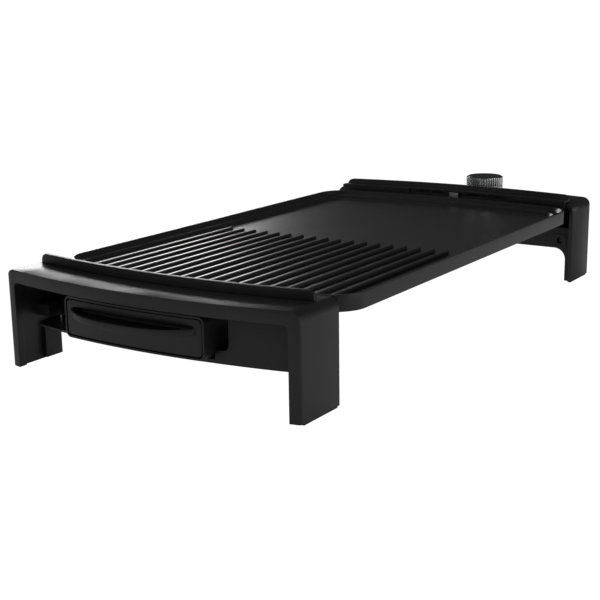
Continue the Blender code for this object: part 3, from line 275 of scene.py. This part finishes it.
def add_group(tree, group, values=None):
    """A shared group placed in a material, with some of its inputs set."""
    node = tree.nodes.new("ShaderNodeGroup")
    node.node_tree = group
    for label, number in (values or {}).items():
        node.inputs[label].default_value = number
    return node


def blend_colours(tree, mask, dark, light):
    """A colour that runs from one tone to another as a mask goes from 0 to 1."""
    node = tree.nodes.new("ShaderNodeMix")
    node.data_type = "RGBA"
    tree.links.new(mask, node.inputs["Factor"])
    node.inputs[6].default_value = (*dark, 1)
    node.inputs[7].default_value = (*light, 1)
    return node.outputs[2]


def bump(tree, shader, height, distance):
    """A height turned into the shader's normal, with its relief in metres."""
    node = tree.nodes.new("ShaderNodeBump")
    node.inputs["Distance"].default_value = distance
    node.inputs["Strength"].default_value = 1.0
    tree.links.new(height, node.inputs["Height"])
    tree.links.new(node.outputs["Normal"], shader.inputs["Normal"])


def plastic(name, dark, light, gloss, rough, pebbles=1400):
    """Moulded plastic: tone, roughness range and grain."""
    made, tree, shader = finish(name, dark, rough)
    grain = add_group(tree, grain_group, {"Pebbles per metre": pebbles})
    film = add_group(tree, film_group)
    tone = blend_colours(tree, film.outputs["Mask"], dark, light)
    tree.links.new(tone, shader.inputs["Base Color"])
    sheen = spread(tree, film.outputs["Mask"], gloss, rough)
    tree.links.new(sheen, shader.inputs["Roughness"])
    shader.inputs["IOR"].default_value = PLASTIC_IOR
    bump(tree, shader, grain.outputs["Height"], GRAIN_RELIEF)
    return made


shell_black = plastic("shell_black", (0.0225, 0.0225, 0.0232), (0.0265, 0.0265, 0.0270), 0.36, 0.43)
# The inner black is darker than the shell partly as painted shade, so the hollows it lines read
# deep.
inner_black = plastic("inner_black", (0.0150, 0.0150, 0.0155), (0.0185, 0.0185, 0.0190), 0.42, 0.50)
drawer_black = plastic(
    "drawer_black", (0.0175, 0.0175, 0.0180), (0.0210, 0.0210, 0.0215), 0.38, 0.46
)
rubber_black = plastic(
    "rubber_black", (0.0110, 0.0110, 0.0110), (0.0200, 0.0195, 0.0190), 0.70, 0.85, 700
)
print("plastics:", shell_black.name, inner_black.name, drawer_black.name, rubber_black.name)

# %% [markdown]
# ### The non-stick coating
# The plate is die-cast aluminium, blasted and sprayed. The spray leaves an orange-peel
# skin with a fine mineral speckle in it, and a thin clear layer on top holds the sheen.

# %% Coating
def nonstick():
    """The coating: orange peel, sparse flecks, a film that moves the gloss, and a clear top."""
    made, tree, shader = finish("nonstick_black", (0.020, 0.020, 0.021), 0.34)
    peel = noise(tree, 900, 2)
    tooth = noise(tree, 3800, 1)
    height = tree.nodes.new("ShaderNodeMath")
    height.operation = "MULTIPLY_ADD"
    height.inputs[1].default_value = 0.5
    tree.links.new(tooth, height.inputs[0])
    tree.links.new(peel, height.inputs[2])
    fleck = tree.nodes.new("ShaderNodeTexVoronoi")
    fleck.inputs["Scale"].default_value = 2600
    tree.links.new(tree.nodes.new("ShaderNodeTexCoord").outputs["Object"], fleck.inputs["Vector"])
    sparse = noise(tree, 1900, 0)
    chosen = tree.nodes.new("ShaderNodeMath")
    chosen.operation = "MULTIPLY"
    tree.links.new(spread(tree, fleck.outputs["Distance"], 1, 0, 0.05, 0.22), chosen.inputs[0])
    tree.links.new(spread(tree, sparse, 0, 1, 0.55, 0.68), chosen.inputs[1])
    tone = blend_colours(
        tree, chosen.outputs["Value"], (0.020, 0.020, 0.021), (0.085, 0.085, 0.088)
    )
    tree.links.new(tone, shader.inputs["Base Color"])
    film = add_group(tree, film_group, {"Patches per metre": 9})
    tree.links.new(spread(tree, film.outputs["Mask"], 0.31, 0.38), shader.inputs["Roughness"])
    shader.inputs["Coat Weight"].default_value = 0.15
    shader.inputs["Coat Roughness"].default_value = 0.22
    bump(tree, shader, height.outputs["Value"], 0.00002)
    return made


nonstick_black = nonstick()
print("coating:", nonstick_black.name)

# %% [markdown]
# ### Metals, ceramic and glassy parts
# The dial's ring is plastic with a bright metallised skin. The sheet steel inside is bare
# and rolled, so its streaks run one way. The terminals sit in cream ceramic, and the pilot
# lamp is a clear red moulding.

# %% Metal finishes
METAL_RELIEF = 0.00001


def stretched(tree, scale):
    """Object coordinates pulled out along one axis, for rolled or turned streaks."""
    mapping = tree.nodes.new("ShaderNodeMapping")
    mapping.inputs["Scale"].default_value = scale
    tree.links.new(tree.nodes.new("ShaderNodeTexCoord").outputs["Object"], mapping.inputs["Vector"])
    return mapping.outputs["Vector"]


def metal(name, dark, light, gloss, rough, streak=(30, 900, 900)):
    """Bare or plated metal: streaks in its tone, gloss and surface, under a little film."""
    made, tree, shader = finish(name, dark, rough, 1.0)
    lines = noise(tree, 1, 3, stretched(tree, streak))
    film = add_group(tree, film_group, {"Patches per metre": 30})
    tree.links.new(blend_colours(tree, lines, dark, light), shader.inputs["Base Color"])
    mixed = tree.nodes.new("ShaderNodeMath")
    mixed.operation = "MAXIMUM"
    tree.links.new(lines, mixed.inputs[0])
    tree.links.new(film.outputs["Mask"], mixed.inputs[1])
    tree.links.new(spread(tree, mixed.outputs["Value"], gloss, rough), shader.inputs["Roughness"])
    bump(tree, shader, lines, METAL_RELIEF)
    return made


def simple(name, dark, light, gloss, rough, scale, relief):
    """A fired or moulded finish with one noise in its tone, gloss and surface."""
    made, tree, shader = finish(name, dark, rough)
    patch = noise(tree, scale, 4)
    tree.links.new(blend_colours(tree, patch, dark, light), shader.inputs["Base Color"])
    tree.links.new(spread(tree, patch, gloss, rough), shader.inputs["Roughness"])
    bump(tree, shader, patch, relief)
    return made, shader


bright_silver = metal(
    "bright_silver", (0.80, 0.81, 0.82), (0.90, 0.91, 0.92), 0.10, 0.24, (700, 700, 60)
)
sheet_steel = metal("sheet_steel", (0.42, 0.42, 0.42), (0.58, 0.58, 0.57), 0.26, 0.42)
heater_steel = metal(
    "heater_steel", (0.20, 0.19, 0.18), (0.34, 0.32, 0.30), 0.35, 0.55, (60, 60, 60)
)
screw_steel = metal(
    "screw_steel", (0.30, 0.30, 0.31), (0.48, 0.48, 0.49), 0.22, 0.38, (900, 900, 900)
)
ceramic, _ = simple(
    "cream_ceramic", (0.62, 0.59, 0.52), (0.78, 0.75, 0.68), 0.35, 0.60, 500, 0.00003
)
lamp_red, lamp_shader = simple(
    "lamp_red", (0.42, 0.02, 0.015), (0.60, 0.05, 0.03), 0.06, 0.14, 300, 0.000005
)
lamp_shader.inputs["Coat Weight"].default_value = 0.6
black_oxide = metal(
    "black_oxide", (0.035, 0.035, 0.036), (0.07, 0.07, 0.07), 0.30, 0.45, (900, 900, 900)
)
print("metals:", bright_silver.name, sheet_steel.name, heater_steel.name, screw_steel.name)

# %% [markdown]
# ## Finishes for the solids that stay
# Most of the inner pieces keep their shape from the frame. Each is given the finish of the
# material it is made of, by the slot that its name belongs to.

# %% Dress the frame
NODE_FINISHES = {
    "stand_shell": shell_black,
    "drip_tray_front": drawer_black,
    "griddle_plate": nonstick_black,
    "knob_ring": bright_silver,
    "knob_shaft": screw_steel,
    "foot": rubber_black,
    "panel_screw": black_oxide,
    "screw": screw_steel,
    "bracket": sheet_steel,
    "heat_shield": sheet_steel,
    "heating_element": heater_steel,
    "element_terminal": ceramic,
    "terminal_block": ceramic,
    "thermostat_body": ceramic,
    "lamp_holder": ceramic,
    "lamp_lens": lamp_red,
    "inlet_pin": screw_steel,
    "sensor_strip": sheet_steel,
}


def finish_for(name):
    """The finish of the first entry that a node's name holds."""
    for part, made in NODE_FINISHES.items():
        if part in name:
            return made
    # Everything else takes the inner black, which is darkened partly as painted shade.
    return inner_black


for name, node in nodes.items():
    node.data.materials.clear()
    node.data.materials.append(finish_for(name))
print("dressed:", len(nodes), "nodes")

# %% [markdown]
# ## Pieces that are made again
# The solids in the frame are true in size but coarse. The pieces that catch the light are made
# again with the curves the real ones have, and stand in for the solids they replace. The
# helpers do what every new piece needs: they start a block, pick out edges and round them,
# and turn a bmesh into a finished object that rides on its body.

# %% Helpers for new pieces
MERGE_DISTANCE = 1e-6
SMOOTH_BELOW = math.radians(35)


def make_piece(name, bm, material, body, slot, *replaced):
    """Finish a bmesh: merged, pointing outwards, smooth but for its sharp edges."""
    bmesh.ops.remove_doubles(bm, verts=bm.verts, dist=MERGE_DISTANCE)
    bmesh.ops.recalc_face_normals(bm, faces=bm.faces)
    mesh = bpy.data.meshes.new(name)
    bm.to_mesh(mesh)
    bm.free()
    mesh.materials.append(material)
    mesh.shade_smooth()
    mesh.set_sharp_from_angle(angle=SMOOTH_BELOW)
    piece = bpy.data.objects.new(name, mesh)
    bpy.context.scene.collection.objects.link(piece)
    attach(piece, body)
    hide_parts(*replaced)
    return piece


def round_edges(bm, edges, width, segments=3):
    """Round a set of edges."""
    bmesh.ops.bevel(
        bm,
        geom=edges,
        offset=width,
        offset_type="OFFSET",
        segments=segments,
        profile=0.5,
        affect="EDGES",
        clamp_overlap=True,
        material=-1,
    )


def block(low, high):
    """A bmesh of a box between two corners."""
    low = Vector(low)
    high = Vector(high)
    bm = bmesh.new()
    bmesh.ops.create_cube(bm, size=1.0)
    bmesh.ops.scale(bm, vec=high - low, verts=bm.verts)
    bmesh.ops.translate(bm, vec=(low + high) / 2, verts=bm.verts)
    return bm


def upright_edges(bm):
    """The edges of a block that run along Z."""
    return [e for e in bm.edges if abs(e.verts[0].co.z - e.verts[1].co.z) > 0.001]


def creased_edges(bm, angle):
    """The edges between two faces that meet at more than an angle."""
    return [e for e in bm.edges if len(e.link_faces) == 2 and e.calc_face_angle(0) > angle]


# %% [markdown]
# ### The griddle plate
# The real plate is one die casting. It could be cut from a block with booleans, as the solid
# was, but insets follow the outline by themselves: the top face is drawn in and lowered twice,
# which gives the rim, the ledge and the cooking floor with one even width all round. The ends
# are bowed first, so every step inside them is bowed too.

# %% Plate
PLATE_BOW = 0.0140
BOW_HALF = 0.1400
PLATE_CORNER = 0.0220
CORNER_SEGMENTS = 12
BOW_SLICES = 25
RIM_TOP = 0.0025
LEDGE_DROP = 0.0044
LEDGE_WIDTH = 0.0070
FLOOR_DROP = 0.0040
WALL_SLOPE = 0.0015
SKIRT_DEPTH = 0.0133
UNDERSIDE_INSET = 0.0120
UNDERSIDE_SLOPE = 0.0020
PLATE_SOFTNESS = 0.0009
PLATE_CREASE = math.radians(28)
RIB_COUNT = 18
RIB_PITCH = 0.0142
RIB_WIDTH = 0.0050
RIB_HEIGHT = 0.0034
RIB_START = 0.0184
RIB_END = -0.0095
RIB_SUNK = 0.0004
RIB_END_ROUNDING = RIB_WIDTH * 0.46
RIB_CREST_ROUNDING = 0.0013


def bow_ends(bm, centre_x, bow):
    """Bend both ends back towards their corners."""
    for vert in bm.verts:
        back = bow * (vert.co.y / BOW_HALF) ** 2
        vert.co.x -= math.copysign(back, vert.co.x - centre_x)


def slice_across(bm, half, steps):
    """Cut the mesh at even places along Y, so that it can bend."""
    for step in range(1, steps):
        geometry = bm.verts[:] + bm.edges[:] + bm.faces[:]
        y = half * (2 * step / steps - 1)
        bmesh.ops.bisect_plane(bm, geom=geometry, plane_co=(0, y, 0), plane_no=(0, 1, 0))


def sunk(bm, faces, width, depth):
    """Draw a group of faces in by a width and down by a depth."""
    bmesh.ops.inset_region(
        bm, faces=faces, thickness=width, depth=-depth, use_boundary=True, use_even_offset=True
    )


def build_plate():
    """The rimmed plate with its bowed ends, and the middle of its length."""
    low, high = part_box("griddle_plate")
    skirt = high.z - SKIRT_DEPTH
    bm = block((low.x, low.y, skirt), high)
    centre_x = (low.x + high.x) / 2
    round_edges(bm, upright_edges(bm), PLATE_CORNER, CORNER_SEGMENTS)
    slice_across(bm, high.y, BOW_SLICES)
    bow_ends(bm, centre_x, PLATE_BOW)
    top = [face for face in bm.faces if face.normal.z > 0.9]
    bottom = [face for face in bm.faces if face.normal.z < -0.9]
    sunk(bm, top, RIM_TOP, 0.0)
    sunk(bm, top, WALL_SLOPE, LEDGE_DROP)
    sunk(bm, top, LEDGE_WIDTH, 0.0)
    sunk(bm, top, WALL_SLOPE, FLOOR_DROP)
    sunk(bm, bottom, UNDERSIDE_INSET, 0.0)
    sunk(bm, bottom, UNDERSIDE_SLOPE, low.z - skirt)
    bm.normal_update()
    round_edges(bm, creased_edges(bm, PLATE_CREASE), PLATE_SOFTNESS)
    return bm, centre_x


def add_ribs(bm, centre_x):
    """Long low bars with round ends, which stop short of the smooth half."""
    low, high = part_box("griddle_plate")
    floor = high.z - LEDGE_DROP - FLOOR_DROP
    top = floor + RIB_HEIGHT
    half = RIB_WIDTH / 2
    for index in range(RIB_COUNT):
        y = RIB_PITCH * (index - (RIB_COUNT - 1) / 2)
        start = low.x + RIB_START + PLATE_BOW * (y / BOW_HALF) ** 2
        end = centre_x + RIB_END
        rib = block((start, y - half, floor - RIB_SUNK), (end, y + half, top))
        round_edges(rib, upright_edges(rib), RIB_END_ROUNDING, segments=5)
        crest = [e for e in rib.edges if min(v.co.z for v in e.verts) > top - 1e-5]
        round_edges(rib, crest, RIB_CREST_ROUNDING)
        mesh = bpy.data.meshes.new("rib")
        rib.to_mesh(mesh)
        rib.free()
        bm.from_mesh(mesh)
        bpy.data.meshes.remove(mesh)


plate_bm, plate_middle = build_plate()
add_ribs(plate_bm, plate_middle)
plate = make_piece("ribbed_plate", plate_bm, nonstick_black, "frame", "plate", "griddle_plate")
print("plate:", len(plate.data.polygons), "faces,", RIB_COUNT, "ribs")

# %% [markdown]
# ### The dial
# A dial's ring is moulded with fine flutes for grip and a plain collar at its foot. A turned
# profile gives the ring, and drawing its outer points in by a cosine gives the flutes, which
# stop below the top edge and above the collar.

# %% Dial
FLUTES = 44
FLUTE_DEPTH = 0.00055
FLUTE_STEPS = 8
FLUTE_ROWS = 6
FLUTE_SHARPNESS = 1.4
COLLAR_HEIGHT = 0.0048
SHAFT_HOLE = 0.0034
CAP_RECESS = 0.0020
CAP_CLEARANCE = 0.0002
CAP_STEPS = 96


def spun(profile, steps):
    """A closed turned shape round a vertical axis, from pairs of radius and height."""
    bm = bmesh.new()
    verts = [bm.verts.new((radius, 0, z)) for radius, z in profile]
    edges = [bm.edges.new(pair) for pair in zip(verts, verts[1:])]
    bmesh.ops.spin(
        bm,
        geom=verts + edges,
        axis=(0, 0, 1),
        cent=(0, 0, 0),
        angle=math.tau,
        steps=steps,
        use_merge=True,
        use_duplicate=False,
    )
    bmesh.ops.remove_doubles(bm, verts=bm.verts, dist=MERGE_DISTANCE)
    return bm


def build_dial_ring():
    """The bright ring with its flutes, its collar and the recess for the cap."""
    low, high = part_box("knob_ring")
    cap_low, cap_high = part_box("knob_cap")
    radius = (high.x - low.x) / 2
    cap = (cap_high.x - cap_low.x) / 2 + CAP_CLEARANCE
    collar = low.z + COLLAR_HEIGHT
    recess = high.z - CAP_RECESS
    grip = radius - 0.00005
    profile = [(SHAFT_HOLE, recess), (cap, recess), (cap, high.z - 0.0003)]
    profile += [(cap + 0.0003, high.z), (radius - 0.0010, high.z)]
    profile += [(radius - 0.0003, high.z - 0.0004), (grip, high.z - 0.0010)]
    fluted_top = high.z - 0.0016
    fluted_low = collar + 0.0009
    for row in range(FLUTE_ROWS + 1):
        profile.append((grip, fluted_top + (fluted_low - fluted_top) * row / FLUTE_ROWS))
    profile += [(radius - 0.0007, collar + 0.0004), (radius - 0.0007, collar)]
    profile += [(radius - 0.0001, collar - 0.0004), (radius - 0.0001, low.z + 0.0006)]
    profile += [(radius - 0.0006, low.z), (SHAFT_HOLE, low.z), (SHAFT_HOLE, recess)]
    bm = spun(profile, FLUTES * FLUTE_STEPS)
    for vert in bm.verts:
        reach = math.hypot(vert.co.x, vert.co.y)
        if reach > radius - 0.0002 and vert.co.z > collar + 0.0006:
            angle = math.atan2(vert.co.y, vert.co.x)
            groove = FLUTE_DEPTH * (1 - abs(math.cos(angle * FLUTES / 2))) * FLUTE_SHARPNESS
            share = (reach - groove) / reach
            vert.co.x *= share
            vert.co.y *= share
    centre = ((low.x + high.x) / 2, (low.y + high.y) / 2, 0)
    bmesh.ops.translate(bm, vec=centre, verts=bm.verts)
    return bm


def build_dial_cap():
    """The black cap: a flat disc with a raised and rounded border."""
    low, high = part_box("knob_cap")
    radius = (high.x - low.x) / 2
    profile = [(0, high.z - 0.0001), (radius * 0.90, high.z - 0.0001), (radius * 0.93, high.z)]
    profile += [(radius - 0.0006, high.z), (radius - 0.0002, high.z - 0.0002)]
    profile += [(radius, high.z - 0.0006), (radius, low.z), (0, low.z)]
    bm = spun(profile, CAP_STEPS)
    centre = ((low.x + high.x) / 2, (low.y + high.y) / 2, 0)
    bmesh.ops.translate(bm, vec=centre, verts=bm.verts)
    return bm


dial_ring = make_piece(
    "dial_ring", build_dial_ring(), bright_silver, "thermostat_knob", "knob_silver", "knob_ring"
)
dial_cap = make_piece(
    "dial_cap", build_dial_cap(), inner_black, "thermostat_knob", "inner", "knob_cap"
)
dial_faces = len(dial_ring.data.polygons) + len(dial_cap.data.polygons)
print("dial:", dial_faces, "faces,", FLUTES, "flutes")

# %% [markdown]
# ### Softer casings
# The moulded casings have true shapes already, but knife-sharp edges, which no moulding has.
# A copy of each is merged into flat faces, its edges are rounded, and the copy stands in for
# the solid. The rounding is small on thin walls and wider on the stands.

# %% Rounded copies
FLAT_WITHIN = math.radians(1)
SHARP_ABOVE = math.radians(32)


def merged_copy(name):
    """A bmesh of a frame solid, with its loose triangles joined into flat faces."""
    bm = bmesh.new()
    bm.from_mesh(nodes[name].data)
    bmesh.ops.remove_doubles(bm, verts=bm.verts, dist=1e-5)
    bmesh.ops.dissolve_limit(
        bm, angle_limit=FLAT_WITHIN, verts=bm.verts, edges=bm.edges, delimit=set()
    )
    return bm


def soft_copy(node, name, width, slot, body="frame"):
    """A copy of a frame solid whose sharp edges are rounded, which stands in for it."""
    bm = merged_copy(node)
    round_edges(bm, creased_edges(bm, SHARP_ABOVE), width)
    bmesh.ops.triangulate(bm, faces=[face for face in bm.faces if len(face.verts) > 4])
    return make_piece(name, bm, finish_for(node), body, slot, node)


soft_pieces = [
    soft_copy("tray_stand_shell", "tray_stand", 0.0007, "shell"),
    soft_copy("control_stand_shell", "control_stand", 0.0007, "shell"),
    soft_copy("tray_splash_guard", "tray_guard", 0.0006, "inner"),
    soft_copy("control_splash_guard", "control_guard", 0.0006, "inner"),
    soft_copy("tray_inner_panel", "tray_panel", 0.0004, "inner"),
    soft_copy("control_inner_panel", "control_panel", 0.0004, "inner"),
    soft_copy("tray_apron", "tray_skirt", 0.0003, "inner"),
    soft_copy("control_apron", "control_skirt", 0.0003, "inner"),
    soft_copy("drawer_frame", "drawer_sleeve", 0.0003, "inner"),
    soft_copy("drip_tray_front", "drawer_front", 0.0005, "shell", "drip_drawer"),
    soft_copy("drip_tray", "drip_basin", 0.0004, "inner", "drip_drawer"),
    soft_copy("power_inlet", "inlet_socket", 0.0004, "inner"),
]
print("rounded:", len(soft_pieces), "pieces")
